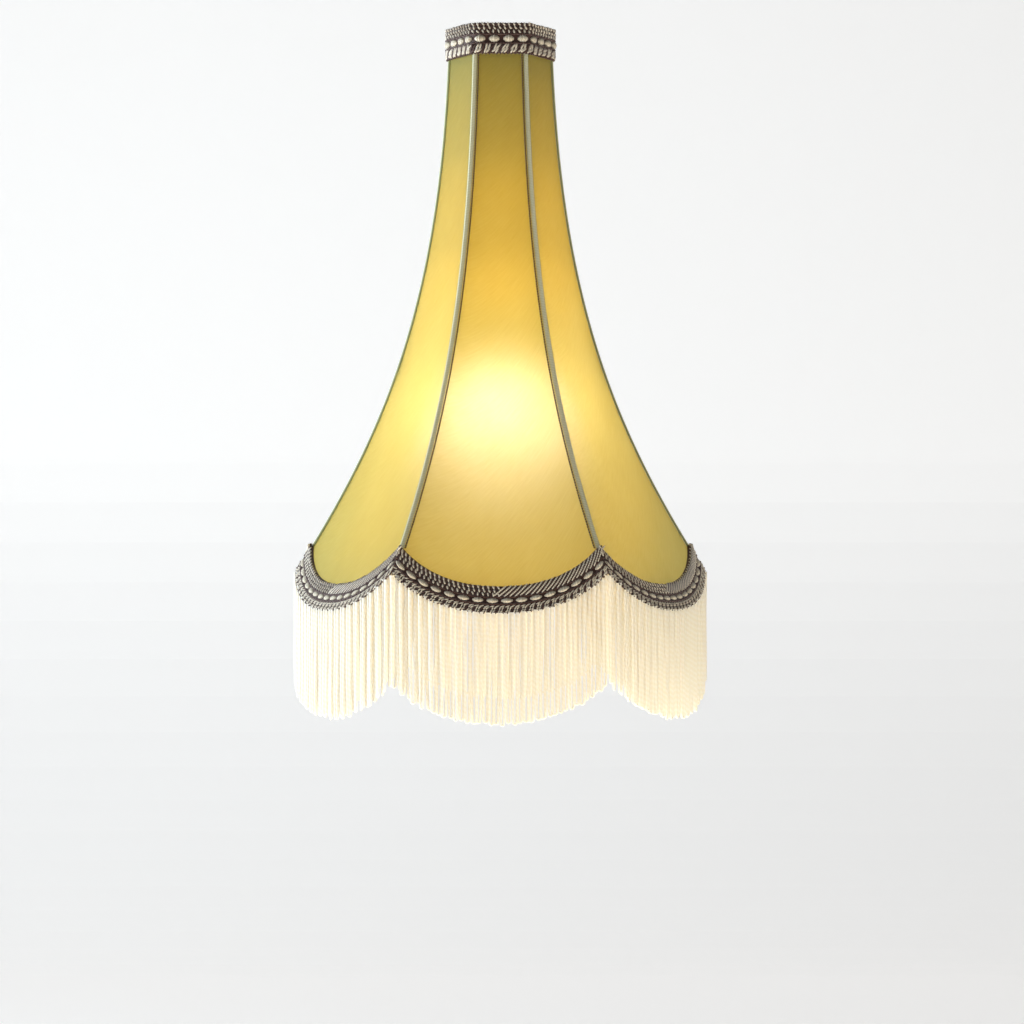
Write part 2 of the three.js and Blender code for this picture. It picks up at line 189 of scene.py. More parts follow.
# --- Frame wires ------------------------------------------------------------------------------------
# Steel wire, 3 mm thick, welded up: six ribs, a scallop under each gore and a ring at the top.
# Each wire is bound with a narrow cotton tape, which is what the cloth is sewn to.
GORES = 6
CORNER = math.pi / GORES
WIRE_RADIUS = 1.5 * MM
GAP = 0.3 * MM
TOP_RADIUS, TOP_Z = 39.3 * MM, 415 * MM
TOP_LEAN, TOP_PULL = math.radians(1.5), 212 * MM
TOP_RING_BEND = 8 * MM
SKIRT_RADIUS, SKIRT_Z = 152.5 * MM, -16 * MM
SKIRT_LEAN, SKIRT_PULL = math.radians(31), 125 * MM
BRAID_FOOT_Z = -40 * MM
SCALLOP_DROP, SCALLOP_POWER = 32 * MM, 2.2
HEM_RISE = 3 * MM
TAPE_PITCH = 7 * MM
RIB_TABLE_STEPS = 300

rib_start = Vector((TOP_RADIUS, TOP_Z))
rib_end = Vector((SKIRT_RADIUS, SKIRT_Z))
rib_pulls = [
    rib_start + TOP_PULL * Vector((math.sin(TOP_LEAN), -math.cos(TOP_LEAN))),
    rib_end + SKIRT_PULL * Vector((-math.sin(SKIRT_LEAN), math.cos(SKIRT_LEAN))),
]
rib_table = []
for step in range(RIB_TABLE_STEPS + 1):
    share = step / RIB_TABLE_STEPS
    rest = 1 - share
    rib_table.append(
        rest ** 3 * rib_start + 3 * rest * rest * share * rib_pulls[0]
        + 3 * rest * share * share * rib_pulls[1] + share ** 3 * rib_end)


def rib_at(z):
    """The rib line's radius, and the radius it gains for each metre of drop, at a height."""
    if z <= SKIRT_Z:
        return SKIRT_RADIUS + (SKIRT_Z - z) * math.tan(SKIRT_LEAN), math.tan(SKIRT_LEAN)
    low, high = 0, len(rib_table) - 1
    while high - low > 1:
        middle = (low + high) // 2
        if rib_table[middle].y > z:
            low = middle
        else:
            high = middle
    upper, lower = rib_table[low], rib_table[high]
    slope = (lower.x - upper.x) / (upper.y - lower.y)
    return upper.x + (upper.y - z) * slope, slope


def face_depth(z, out):
    """How far from the axis a gore's face lies, for a layer that stands off the frame by out."""
    radius, slope = rib_at(z)
    return radius * math.cos(CORNER) + out / math.cos(math.atan(slope * math.cos(CORNER)))


def gore_point(share, z, out):
    """A point on the front gore: share runs from -1 to 1 between its side seams."""
    depth = face_depth(z, out)
    return Vector((share * depth * math.tan(CORNER), -depth, z))


def seam_point(aside, z, out, ease=0.0):
    """A point near the seam on the +X rib, aside along the faces from it; ease rounds the ridge."""
    ridge = face_depth(z, out) / math.cos(CORNER)
    run = math.hypot(aside, ease)
    return Vector((ridge - run * math.sin(CORNER), aside * math.cos(CORNER), z))


def scallop(share):
    return SCALLOP_DROP * (1 - min(abs(share), 1) ** SCALLOP_POWER)


def grid(name, across, along):
    """A flat grid, 2 by 2, of across by along squares, with its UV map from 0 to 1."""
    only()
    bpy.ops.mesh.primitive_grid_add(x_subdivisions=across, y_subdivisions=along, size=2)
    made = bpy.context.object
    made.name = made.data.name = name
    return made


def rolled(name, sides, segments, place, length=1.0):
    """A closed round form. place gives a point for a turn and a way along, each from 0 to 1.
    Its UV map counts turns one way and metres of length the other."""
    made = grid(name, sides, segments)
    for vertex in made.data.vertices:
        vertex.co = place((vertex.co.x + 1) / 2, (vertex.co.y + 1) / 2)
    for corner in made.data.uv_layers.active.data:
        corner.uv.y *= length
    bpy.ops.object.mode_set(mode="EDIT")
    bpy.ops.mesh.select_all(action="SELECT")
    bpy.ops.mesh.remove_doubles(threshold=1e-6)
    bpy.ops.mesh.fill_holes(sides=0)
    bpy.ops.mesh.select_all(action="SELECT")
    bpy.ops.mesh.normals_make_consistent(inside=False)
    bpy.ops.object.mode_set(mode="OBJECT")
    return made


def cord_along(name, points, radius, sides):
    """A round cord of that radius along a list of points."""
    lengths = [(b - a).length for a, b in zip(points, points[1:])]
    tangents = []
    for i in range(len(points)):
        tangents.append((points[min(i + 1, len(points) - 1)] - points[max(i - 1, 0)]).normalized())
    side_ways = [Vector((0, 0, 1)).cross(t) for t in tangents]
    side_ways = [s.normalized() if s.length > 1e-4 else Vector((0, 1, 0)) for s in side_ways]

    def place(turn, along):
        i = round(along * (len(points) - 1))
        up = tangents[i].cross(side_ways[i])
        angle = 2 * math.pi * turn
        return points[i] + radius * (math.cos(angle) * side_ways[i] + math.sin(angle) * up)

    return rolled(name, sides, len(points) - 1, place, sum(lengths))


def smooth(item, angle=50):
    only(item)
    bpy.ops.object.shade_smooth_by_angle(angle=math.radians(angle))


def turned_copy(item, name, turn):
    """A copy with its own mesh, turned about the shade's axis."""
    made = item.copy()
    made.data = item.data.copy()
    made.name = made.data.name = name
    bpy.context.collection.objects.link(made)
    made.data.transform(Matrix.Rotation(turn, 4, "Z"))
    return made


def put_on(item, body, slot, *nodes):
    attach(item, body)
    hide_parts(*nodes)


def twist_marks(material, pitch):
    """Bands that run round a cord once for each pitch of its length, on its UV map."""
    whole_turn = 2 * math.pi / 10
    cord_uv = add(material, "ShaderNodeTexCoord").outputs["UV"]
    laid = add(material, "ShaderNodeMapping", {
        "Vector": cord_uv, "Scale": (whole_turn, whole_turn / pitch, 0)})
    return add(material, "ShaderNodeTexWave", {
        "Vector": laid.outputs[0], "Scale": 1.0}, bands_direction="DIAGONAL").outputs["Fac"]


# Cotton tape is matt and off-white; each turn of it laps the last, so its edge shows as a faint step.
tape = empty_material("cotton_tape_binding")
tape_wrap = twist_marks(tape, TAPE_PITCH)
tape_colour = add(tape, "ShaderNodeMix", {
    "Factor": tape_wrap, "A": linear("#D8CFB6"), "B": linear("#EFE9D6")}, data_type="RGBA")
tape_bump = add(tape, "ShaderNodeBump", {"Height": tape_wrap, "Strength": 0.5, "Distance": 0.3 * MM})
tape_shader = add(tape, "ShaderNodeBsdfPrincipled", {
    "Base Color": tape_colour.outputs["Result"], "Roughness": 0.85, "Normal": tape_bump.outputs[0]})
add(tape, "ShaderNodeOutputMaterial", {"Surface": tape_shader.outputs[0]})


def scallop_wire_z(share):
    return BRAID_FOOT_Z + HEM_RISE + WIRE_RADIUS - scallop(share)


RIB_STEPS, SCALLOP_STEPS, WIRE_SIDES = 60, 28, 12
rib_top = TOP_Z - WIRE_RADIUS - GAP
rib_foot = scallop_wire_z(1) + 2 * WIRE_RADIUS + GAP
rib_points = []
for step in range(RIB_STEPS + 1):
    z = rib_top + (rib_foot - rib_top) * step / RIB_STEPS
    rib_points.append(Vector((rib_at(z)[0], 0, z)))
rib_wire = cord_along("bound_rib", rib_points, WIRE_RADIUS, WIRE_SIDES)
scallop_reach = 1 - (WIRE_RADIUS - GAP / 2) / (SKIRT_RADIUS * math.sin(CORNER))
scallop_points = []
for step in range(SCALLOP_STEPS + 1):
    share = scallop_reach * (2 * step / SCALLOP_STEPS - 1)
    scallop_points.append(gore_point(share, scallop_wire_z(share), 0))
scallop_wire = cord_along("bound_scallop", scallop_points, WIRE_RADIUS, WIRE_SIDES)
for wire in (rib_wire, scallop_wire):
    smooth(wire)
    wire.data.materials.append(tape)

SEAM_TURNS = [2 * CORNER * k - math.pi / 2 + CORNER for k in range(GORES)]
GORE_TURNS = [2 * CORNER * k for k in range(GORES)]
for k in range(GORES):
    put_on(turned_copy(rib_wire, f"bound_rib_{k + 1}", SEAM_TURNS[k]),
           "shade", "frame_wire", f"rib_wire_{k + 1}")
    put_on(turned_copy(scallop_wire, f"bound_scallop_{k + 1}", GORE_TURNS[k]),
           "shade", "frame_wire", f"scallop_wire_{k + 1}")
bpy.data.objects.remove(rib_wire)
bpy.data.objects.remove(scallop_wire)


def ring_point(way, radius, bend, z):
    """A point on a level six-cornered ring with rounded corners over the ribs; way runs from 0 to 1."""
    corner_run = bend * math.tan(CORNER)
    straight = radius - 2 * corner_run
    side = (way * GORES) % 1
    turn = 2 * CORNER * math.floor(way * GORES)
    half = CORNER * bend
    total = straight + 2 * half
    along = side * total - half
    depth = radius * math.cos(CORNER)
    if 0 <= along <= straight:
        point = Vector((along - straight / 2, -depth, z))
    else:
        hand = 1 if along > 0 else -1
        over = (along - straight) if hand > 0 else -along
        angle = over / bend
        centre = Vector((hand * straight / 2, -depth + bend, z))
        point = centre + bend * Vector((hand * math.sin(angle), -math.cos(angle), 0))
    return Matrix.Rotation(turn, 3, "Z") @ point


RING_STEPS = 72


def top_ring_place(turn, along):
    angle = 2 * math.pi * turn
    centre = ring_point(along, TOP_RADIUS, TOP_RING_BEND, TOP_Z)
    outward = Vector((centre.x, centre.y, 0)).normalized()
    return centre + WIRE_RADIUS * (math.cos(angle) * outward + Vector((0, 0, math.sin(angle))))


top_ring = rolled("bound_top_ring", WIRE_SIDES, RING_STEPS, top_ring_place, 2 * math.pi * TOP_RADIUS)
smooth(top_ring)
top_ring.data.materials.append(tape)
put_on(top_ring, "shade", "frame_wire", "top_ring_wire")

# --- Gimbal fitter ----------------------------------------------------------------------------------
# A punched ring that sits on the lampholder, a stirrup and two arms of steel strip, and two rivets
# with washers that the shade tilts on. It is all pressed from zinc plated steel, its edges tumbled.
EDGE_ROUND = 0.25 * MM
# Zinc plate is a pale, slightly blue grey metal with a soft shine and a faint cloudy grain.
zinc = empty_material("zinc_plated_steel")
zinc_place = add(zinc, "ShaderNodeTexCoord").outputs["Object"]
zinc_cloud = add(zinc, "ShaderNodeTexNoise", {"Vector": zinc_place, "Scale": 180.0, "Detail": 3.0})
zinc_grain = add(zinc, "ShaderNodeTexNoise", {"Vector": zinc_place, "Scale": 1400.0, "Detail": 2.0})
zinc_colour = add(zinc, "ShaderNodeMix", {
    "Factor": zinc_cloud.outputs["Fac"], "A": linear("#9FA3A8"), "B": linear("#C6C8CA")}, data_type="RGBA")
zinc_rough = add(zinc, "ShaderNodeMapRange", {
    "Value": zinc_cloud.outputs["Fac"], "To Min": 0.24, "To Max": 0.46})
zinc_bump = add(zinc, "ShaderNodeBump", {
    "Height": zinc_grain.outputs["Fac"], "Strength": 0.15, "Distance": 0.05 * MM})
zinc_shader = add(zinc, "ShaderNodeBsdfPrincipled", {
    "Base Color": zinc_colour.outputs["Result"], "Metallic": 1.0,
    "Roughness": zinc_rough.outputs[0], "Normal": zinc_bump.outputs[0]})
add(zinc, "ShaderNodeOutputMaterial", {"Surface": zinc_shader.outputs[0]})

fitter_nodes = ["fitter_ring"]
for hand in ("right", "left"):
    fitter_nodes += [f"stirrup_arm_{hand}", f"gimbal_arm_{hand}"]
    fitter_nodes += [f"pivot_rivet_{hand}", f"pivot_washer_{hand}"]
for name in fitter_nodes:
    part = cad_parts[name]
    part.data.materials.clear()
    part.data.materials.append(zinc)
    joined = part.modifiers.new("join", "WELD")
    joined.merge_threshold = 1e-6
    rounded = part.modifiers.new("tumbled_edges", "BEVEL")
    rounded.width = EDGE_ROUND
    rounded.segments = 2
    rounded.limit_method = "ANGLE"
    rounded.angle_limit = math.radians(40)
    rounded.harden_normals = True

# --- Lining -----------------------------------------------------------------------------------------
# White cotton lawn, sheer enough for the bulb to shine through, sewn to the inside of the ribs.
# It is cut away round the two gimbal arms, which reach through it to the ribs.
CLOTH_OFF_WIRE = 0.8 * MM
COVER_INSIDE = WIRE_RADIUS + CLOTH_OFF_WIRE
LINING_TOP_Z = TOP_Z - 5 * MM
LINING_HEM_RISE = 2 * HEM_RISE
LINING_THICKNESS = 0.3 * MM
ARM_Z = 127 * MM
SLIT_WIDTH, SLIT_HEIGHT = 11.6 * MM, 3.1 * MM
LAWN_THREAD = 0.9 * MM
LINING_STAND = 0.1 * MM


def cloth_run(top, foot, steps=200):
    """The length of cloth down the middle of a gore between two heights."""
    levels = [top + (foot - top) * i / steps for i in range(steps + 1)]
    depths = [face_depth(z, 0) for z in levels]
    return sum(math.hypot(levels[i] - levels[i - 1], depths[i] - depths[i - 1]) for i in range(1, steps + 1))


def gore_sheet(name, across, along, top, rise, stand):
    """The front gore of cloth, with its UV map in metres. stand gives how far off the frame it lies."""
    sheet = grid(name, across, along)
    foot_run = cloth_run(top, BRAID_FOOT_Z)
    laid = []
    for vertex in sheet.data.vertices:
        share, down = vertex.co.x, (1 - vertex.co.y) / 2
        hem = BRAID_FOOT_Z + rise - scallop(share)
        vertex.co = gore_point(share, top + (hem - top) * down, stand(share, down))
        laid.append((vertex.co.x, foot_run * down))
    for loop in sheet.data.loops:
        sheet.data.uv_layers.active.data[loop.index].uv = laid[loop.vertex_index]
    return sheet


def thicken(item, thickness, offset):
    only(item)
    modifier = item.modifiers.new("thickness", "SOLIDIFY")
    modifier.thickness = thickness
    modifier.offset = offset
    bpy.ops.object.modifier_apply(modifier="thickness")


def flat_cut(top, rise, out):
    """The width of the hem's lowest part and the length down the middle that a gore is cut to."""
    foot = BRAID_FOOT_Z + rise - SCALLOP_DROP
    return 2 * face_depth(foot, out) * math.tan(CORNER), cloth_run(top, foot)


# Lawn is a fine, matt plain weave. Its threads are 0.2 mm apart, too fine to show, so they are drawn
# 0.9 mm apart. The sheet has two faces, and 0.7 of the light goes straight through each of them.
lawn = empty_material("white_cotton_lawn")
lawn_uv = add(lawn, "ShaderNodeTexCoord").outputs["UV"]
lawn_scale = 2 * math.pi / 20 / LAWN_THREAD
lawn_warp = add(lawn, "ShaderNodeTexWave", {"Vector": lawn_uv, "Scale": lawn_scale}, bands_direction="X")
lawn_weft = add(lawn, "ShaderNodeTexWave", {"Vector": lawn_uv, "Scale": lawn_scale}, bands_direction="Y")
lawn_weave = add(lawn, "ShaderNodeMath", {
    0: lawn_warp.outputs["Fac"], 1: lawn_weft.outputs["Fac"]}, operation="MULTIPLY")
lawn_colour = add(lawn, "ShaderNodeMix", {
    "Factor": lawn_weave.outputs[0], "A": linear("#F0E8D2"), "B": linear("#F8F2E2")}, data_type="RGBA")
lawn_bump = add(lawn, "ShaderNodeBump", {
    "Height": lawn_weave.outputs[0], "Strength": 0.2, "Distance": 0.1 * MM})
lawn_face = add(lawn, "ShaderNodeBsdfPrincipled", {
    "Base Color": lawn_colour.outputs["Result"], "Roughness": 0.85, "Normal": lawn_bump.outputs[0]})
lawn_clear = add(lawn, "ShaderNodeBsdfTransparent")
lawn_mix = add(lawn, "ShaderNodeMixShader", {0: 0.7, 1: lawn_face.outputs[0], 2: lawn_clear.outputs[0]})
add(lawn, "ShaderNodeOutputMaterial", {"Surface": lawn_mix.outputs[0]})


def slit_cutter(side):
    only()
    bpy.ops.mesh.primitive_cube_add(size=1)
    cutter = bpy.context.object
    reach = rib_at(ARM_Z)[0]
    size = Matrix.Diagonal((reach, SLIT_WIDTH, SLIT_HEIGHT, 1))
    cutter.data.transform(Matrix.Translation((side * reach, 0, ARM_Z)) @ size)
    return cutter


cutters = [slit_cutter(1), slit_cutter(-1)]
# Each arm reaches a seam, so its slit is cut in the two gores that meet there.
SLIT_GORES = [(1, 2), (4, 5)]
for k in range(GORES):
    lining = gore_sheet(
        f"lawn_lining_{k + 1}", 24, 80, LINING_TOP_Z, LINING_HEM_RISE,
        lambda share, down: -COVER_INSIDE - LINING_STAND)
    lining.data.transform(Matrix.Rotation(GORE_TURNS[k], 4, "Z"))
    thicken(lining, LINING_THICKNESS, -1)
    for cutter, slit_gores in zip(cutters, SLIT_GORES):
        if k in slit_gores:
            slit = lining.modifiers.new("slit", "BOOLEAN")
            slit.object = cutter
            slit.operation = "DIFFERENCE"
            only(lining)
            bpy.ops.object.modifier_apply(modifier="slit")
    smooth(lining)
    lining.data.materials.clear()
    lining.data.materials.append(lawn)
    put_on(lining, "shade", "lining", f"lining_gore_{k + 1}")
    flat_cut(LINING_TOP_Z, LINING_HEM_RISE, -COVER_INSIDE)
for cutter in cutters:
    bpy.data.objects.remove(cutter)

# --- Cover gores ------------------------------------------------------------------------------------
# Sage green silk, plain weave, stretched over the ribs and sewn to them; the light comes through it
# golden. Between its seams each gore stands a little proud, and drags faintly above its hem.
COVER_TOP_Z = TOP_Z + 1 * MM
COVER_THICKNESS = 0.45 * MM
COVER_BULGE = 1.3 * MM
DRAG_DEPTH = 0.16 * MM
SILK_THREAD = 1.1 * MM
# Silk has a soft sheen, uneven slubs in its weft and cloudy shifts of tone. Its threads are 0.15 mm
# apart, too fine to show, so they are drawn 1.1 mm apart. Slubs come about every 1.1 mm across the
# weft and change every 15 mm along it.
silk = empty_material("sage_silk_plain_weave")
silk_uv = add(silk, "ShaderNodeTexCoord").outputs["UV"]
silk_scale = 2 * math.pi / 20 / SILK_THREAD
silk_bias = add(silk, "ShaderNodeMapping", {"Vector": silk_uv, "Rotation": (0, 0, math.radians(45))})
warp = add(silk, "ShaderNodeTexWave", {
    "Vector": silk_bias.outputs[0], "Scale": silk_scale, "Distortion": 0.5}, bands_direction="X")
weft = add(silk, "ShaderNodeTexWave", {
    "Vector": silk_bias.outputs[0], "Scale": silk_scale, "Distortion": 0.5}, bands_direction="Y")
weave = add(silk, "ShaderNodeMath", {
    0: warp.outputs["Fac"], 1: weft.outputs["Fac"]}, operation="MULTIPLY")
slub_place = add(silk, "ShaderNodeMapping", {"Vector": silk_bias.outputs[0], "Scale": (66, 900, 1)})
slub = add(silk, "ShaderNodeTexNoise", {"Vector": slub_place.outputs[0], "Scale": 1.0, "Detail": 3.0})
cloud_place = add(silk, "ShaderNodeMapping", {"Vector": silk_uv, "Scale": (22, 12, 1)})
cloud = add(silk, "ShaderNodeTexNoise", {"Vector": cloud_place.outputs[0], "Scale": 1.0, "Detail": 3.0})
tone = add(silk, "ShaderNodeMath", {0: slub.outputs["Fac"], 1: cloud.outputs["Fac"]}, operation="ADD")
tone_range = add(silk, "ShaderNodeMapRange", {"Value": tone.outputs[0], "From Min": 0.6, "From Max": 1.4})
silk_colour = add(silk, "ShaderNodeMix", {
    "Factor": tone_range.outputs[0], "A": linear("#96A76C"), "B": linear("#A5B57A")}, data_type="RGBA")
glow_colour = add(silk, "ShaderNodeMix", {
    "Factor": tone_range.outputs[0], "A": linear("#E1CE76"), "B": linear("#EADA88")}, data_type="RGBA")
silk_bump = add(silk, "ShaderNodeBump", {
    "Height": weave.outputs[0], "Strength": 0.15, "Distance": 0.12 * MM})
slub_bump = add(silk, "ShaderNodeBump", {
    "Height": slub.outputs["Fac"], "Strength": 0.08, "Distance": 0.3 * MM, "Normal": silk_bump.outputs[0]})
silk_face = add(silk, "ShaderNodeBsdfPrincipled", {
    "Base Color": silk_colour.outputs["Result"], "Roughness": 0.55, "Sheen Weight": 0.2,
    "Sheen Roughness": 0.4, "Normal": slub_bump.outputs[0]})
silk_glow = add(silk, "ShaderNodeBsdfTranslucent", {
    "Color": glow_colour.outputs["Result"], "Normal": slub_bump.outputs[0]})
silk_mix = add(silk, "ShaderNodeMixShader", {0: 0.7, 1: silk_face.outputs[0], 2: silk_glow.outputs[0]})
add(silk, "ShaderNodeOutputMaterial", {"Surface": silk_mix.outputs[0]})
# A gore is a closed sheet with two faces; its inner face is nearly clear, so that the light is
# dyed once only.
silk_back = empty_material("sage_silk_inner_face")
silk_back_face = add(silk_back, "ShaderNodeBsdfPrincipled", {
    "Base Color": linear("#C9CC90"), "Roughness": 0.7})
silk_back_clear = add(silk_back, "ShaderNodeBsdfTransparent")
silk_back_mix = add(silk_back, "ShaderNodeMixShader", {
    0: 0.85, 1: silk_back_face.outputs[0], 2: silk_back_clear.outputs[0]})
add(silk_back, "ShaderNodeOutputMaterial", {"Surface": silk_back_mix.outputs[0]})


def cover_stand(phase):
    """How far a gore stands off the frame: its fullness, and shallow drag lines that fan to the hem."""
    def stand(share, down):
        full = (1 - share * share) * min(1, 6 * down, 9 * (1 - down) + 0.15)
        fan = math.sin(9 * abs(share) * (1.6 - down) + phase) * math.sin(14 * share + 2 * phase)
        return COVER_INSIDE + COVER_BULGE * full + DRAG_DEPTH * fan * full * max(0, down - 0.5) * 2
    return stand


covers, cover_areas = [], []
for k in range(GORES):
    cover = gore_sheet(f"silk_gore_{k + 1}", 40, 130, COVER_TOP_Z, HEM_RISE, cover_stand(1.7 * k))
    cover.data.transform(Matrix.Rotation(GORE_TURNS[k], 4, "Z"))
    cover_areas.append(sum(face.area for face in cover.data.polygons))
    thicken(cover, COVER_THICKNESS, 1)
    smooth(cover)
    cover.data.materials.append(silk)
    cover.data.materials.append(silk_back)
    for face in cover.data.polygons:
        level_out = Vector((face.center.x, face.center.y, 0)).normalized()
        face.material_index = 1 if face.normal.dot(level_out) < -0.5 else 0
    put_on(cover, "shade", "cover_silk", f"cover_gore_{k + 1}")
    covers.append(cover)

# --- Seam piping ------------------------------------------------------------------------------------
# A bias strip of paler silk, folded over each seam and slip stitched down, so that it stands up
# round in the middle and lies flat at its edges. Its weave runs across it at a slant.
COVER_ROOM = 0.6 * MM
COVER_OUTSIDE = COVER_INSIDE + COVER_ROOM
TRIM_INSIDE = COVER_OUTSIDE + GAP
PIPING_HALF = 2.2 * MM / math.cos(CORNER)
PIPING_CROWN, PIPING_EDGE = 1.3 * MM, 0.35 * MM
BRAID_WIDTH = 25 * MM
BRAID_RISE = BRAID_WIDTH * math.cos(SKIRT_LEAN)
TOP_BRAID_HEIGHT = 26 * MM
TOP_BRAID_LOW_Z = TOP_Z + 3 * MM - TOP_BRAID_HEIGHT
BIAS_RIB = 1.4 * MM
# The piping's ends are tucked under the braids.
TOP_TUCK, LOW_TUCK = 1 * MM, 2 * MM
# Going round the strip, its flat back takes 0.4 of what its front takes, so the front's middle is at
# 0.357 of the way round.
PIPING_BACK = 0.4
PIPING_MIDDLE = 0.357
piping_high = TOP_BRAID_LOW_Z + TOP_TUCK
piping_low = BRAID_FOOT_Z + BRAID_RISE - LOW_TUCK
# This is the straight distance between the ends, a little less than the length along the curve. It
# sets the pitch of the piping's ribs and of the cords' twist.
piping_length = math.hypot(piping_high - piping_low, rib_at(piping_low)[0] - rib_at(piping_high)[0])

# Bias cut silk shows its threads as fine slanting ribs, drawn 1.4 mm apart, and a soft sheen. It is
# sheer enough for some of the glow behind it to show.
bias_silk = empty_material("pale_bias_cut_silk")
bias_ribs = twist_marks(bias_silk, BIAS_RIB)
bias_tone = add(bias_silk, "ShaderNodeMix", {
    "Factor": bias_ribs, "A": linear("#D9D9AA"), "B": linear("#F6F4DA")}, data_type="RGBA")
bias_turns = add(bias_silk, "ShaderNodeSeparateXYZ", {
    0: add(bias_silk, "ShaderNodeTexCoord").outputs["UV"]})
bias_across = add(bias_silk, "ShaderNodeMath", {
    0: bias_turns.outputs[0], 1: PIPING_MIDDLE}, operation="SUBTRACT")
# A dark olive band, painted shade, runs along one edge of the strip's front and over its back: the shade line
# beside the seam.
bias_painted_shade_edge = add(bias_silk, "ShaderNodeMapRange", {
    "Value": bias_across.outputs[0], "From Min": 0.15, "From Max": 0.2})
bias_colour = add(bias_silk, "ShaderNodeMix", {
    "Factor": bias_painted_shade_edge.outputs[0], "A": bias_tone.outputs["Result"], "B": linear("#7F8244")},
    data_type="RGBA")
bias_bump = add(bias_silk, "ShaderNodeBump", {"Height": bias_ribs, "Strength": 0.3, "Distance": 0.15 * MM})
bias_face = add(bias_silk, "ShaderNodeBsdfPrincipled", {
    "Base Color": bias_colour.outputs["Result"], "Roughness": 0.5, "Sheen Weight": 0.2,
    "Sheen Roughness": 0.4, "Normal": bias_bump.outputs[0]})
bias_clear = add(bias_silk, "ShaderNodeBsdfTransparent")
bias_mix = add(bias_silk, "ShaderNodeMixShader", {0: 0.2, 1: bias_face.outputs[0], 2: bias_clear.outputs[0]})
add(bias_silk, "ShaderNodeOutputMaterial", {"Surface": bias_mix.outputs[0]})


def piping_place(turn, along):
    z = piping_high + (piping_low - piping_high) * along
    over = turn * (1 + PIPING_BACK)
    if over <= 1:
        aside = PIPING_HALF * (2 * over - 1)
        lift = PIPING_EDGE + (PIPING_CROWN - PIPING_EDGE) * math.cos(aside / PIPING_HALF * math.pi / 2) ** 0.8
    else:
        aside = PIPING_HALF * (1 - 2 * (over - 1) / PIPING_BACK)
        lift = 0
    return seam_point(aside, z, TRIM_INSIDE + lift, 0.8 * MM if over <= 1 else 0.4 * MM)


piping = rolled("bias_piping", 21, 110, piping_place, piping_length)
smooth(piping)
piping.data.materials.append(bias_silk)
for k in range(GORES):
    strip = turned_copy(piping, f"bias_piping_{k + 1}", SEAM_TURNS[k])
    # On every other seam the painted shade band is turned to the strip's other edge.
    if k % 2:
        for corner in strip.data.uv_layers.active.data:
            corner.uv.x = 2 * PIPING_MIDDLE - corner.uv.x
    put_on(strip, "shade", "piping", f"seam_piping_{k + 1}")
bpy.data.objects.remove(piping)

# --- Edge cords -------------------------------------------------------------------------------------
# Two plies of dark silk twisted into a cord 1.8 mm thick, couched down beside the piping along both
# sides of every other gore.
EDGE_CORD_RADIUS = 0.9 * MM
CORD_TWIST = 4.4 * MM
EDGE_CORD_INSET = PIPING_HALF + GAP + EDGE_CORD_RADIUS
# The cord's colour carries painted shade and a painted highlight: brown-black in its grooves and old gold
# where a ply turns to the light.
cord_silk = empty_material("twisted_brown_silk_cord")
cord_shade_and_highlight_bands = twist_marks(cord_silk, CORD_TWIST / 2)
cord_colour = add(cord_silk, "ShaderNodeMix", {
    "Factor": cord_shade_and_highlight_bands, "A": linear("#1A1208"), "B": linear("#8F7436")}, data_type="RGBA")
cord_shader = add(cord_silk, "ShaderNodeBsdfPrincipled", {
    "Base Color": cord_colour.outputs["Result"], "Roughness": 0.5, "Sheen Weight": 0.2})
add(cord_silk, "ShaderNodeOutputMaterial", {"Surface": cord_shader.outputs[0]})

CORD_STEPS = 480
cord_length = piping_length


def edge_cord_place(turn, along):
    z = piping_high + (piping_low - piping_high) * along
    angle = 2 * math.pi * turn
    twist = 2 * math.pi * along * cord_length / CORD_TWIST
    reach = EDGE_CORD_RADIUS * (0.72 + 0.28 * math.cos(2 * (angle - twist)))
    middle = face_depth(z, TRIM_INSIDE + EDGE_CORD_RADIUS)
    edge = gore_point(1, z, TRIM_INSIDE).x - EDGE_CORD_INSET
    return Vector((edge + reach * math.cos(angle), -middle + reach * math.sin(angle), z))


edge_cord = rolled("couched_cord", 8, CORD_STEPS, edge_cord_place, cord_length)
smooth(edge_cord, 80)
edge_cord.data.materials.append(cord_silk)
other_cord = turned_copy(edge_cord, "couched_cord_other_hand", 0)
other_cord.data.transform(Matrix.Scale(-1, 4, (1, 0, 0)))
other_cord.data.flip_normals()
for k in range(0, GORES, 2):
    put_on(turned_copy(other_cord, f"couched_cord_{k + 1}", GORE_TURNS[k]),
           "shade", "edge_cord", f"edge_cord_{k + 1}")
    put_on(turned_copy(edge_cord, f"couched_cord_{k + 2}", GORE_TURNS[k]),
           "shade", "edge_cord", f"edge_cord_{k + 2}")
bpy.data.objects.remove(edge_cord)
bpy.data.objects.remove(other_cord)

# --- Braids -----------------------------------------------------------------------------------------
# A gimp braid of cream and dark brown rayon, 25 mm wide, glued over the hem and round the top edge.
# From the top it has slanting strands or rows of short stitches, a chain, a row of wrapped oval beads,
# a chain, stitches over knit rows or leaf shaped loops, and little teeth, on a dark knitted ground.
GROUND_THICKNESS = 1.5 * MM
GIMP_WRAP = 0.9 * MM
GROUND_MARGIN = 0.4 * MM
# How far apart the pieces of each row of a braid lie.
STRAND_PITCH, DASH_PITCH, CHAIN_PITCH, BEAD_GAP = 2.1 * MM, 2.0 * MM, 2.6 * MM, 2.5 * MM
LEAF_PITCH, STITCH_PITCH, KNIT_PITCH, TOOTH_PITCH = 2.3 * MM, 3.9 * MM, 1.9 * MM, 2.9 * MM
STRAND_SLANT, DASH_SLANT = math.radians(39), math.radians(-66)
